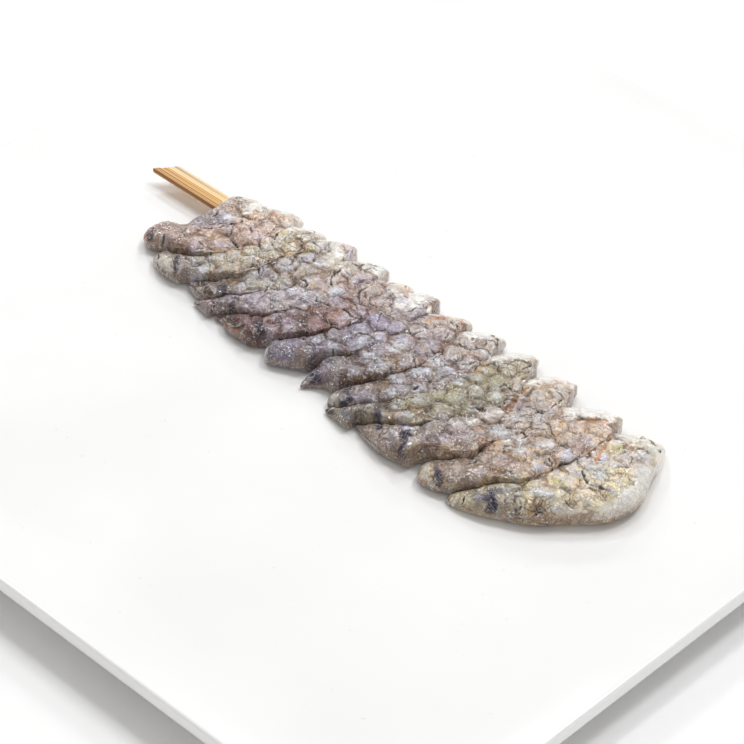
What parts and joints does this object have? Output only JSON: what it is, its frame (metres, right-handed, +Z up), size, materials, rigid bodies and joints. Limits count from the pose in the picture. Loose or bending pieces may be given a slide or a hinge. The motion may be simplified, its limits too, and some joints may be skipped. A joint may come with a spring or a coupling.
{
  "type": "dish with a skewer of tiger prawns",
  "caption": "Square shallow white dish carrying a flat bamboo skewer of raw, peeled tiger prawns threaded side by side.",
  "frame": {"origin": "middle of the dish's foot, at table height", "axes": "+X along the skewer from its bare handle to its tip, +Y towards the prawns' head ends, +Z up"},
  "size_m": [0.26, 0.26, 0.0188],
  "materials": {
    "dish": "glossy",
    "bamboo_stick": "plain, split bamboo",
    "prawn_01": "wet raw prawn flesh",
    "prawn_02": "wet raw prawn flesh",
    "prawn_03": "wet raw prawn flesh",
    "prawn_04": "wet raw prawn flesh",
    "prawn_05": "wet raw prawn flesh",
    "prawn_06": "wet raw prawn flesh",
    "prawn_07": "wet raw prawn flesh",
    "prawn_08": "wet raw prawn flesh",
    "prawn_09": "wet raw prawn flesh",
    "prawn_10": "wet raw prawn flesh",
    "prawn_11": "wet raw prawn flesh",
    "prawn_12": "wet raw prawn flesh",
    "prawn_13": "wet raw prawn flesh"
  },
  "bodies": {
    "root": {"dish": "dish", "bamboo_stick": "bamboo_stick", "prawn_01": "prawn_01", "prawn_02": "prawn_02", "prawn_03": "prawn_03", "prawn_04": "prawn_04", "prawn_05": "prawn_05", "prawn_06": "prawn_06", "prawn_07": "prawn_07", "prawn_08": "prawn_08", "prawn_09": "prawn_09", "prawn_10": "prawn_10", "prawn_11": "prawn_11", "prawn_12": "prawn_12", "prawn_13": "prawn_13"}
  },
  "joints": []
}
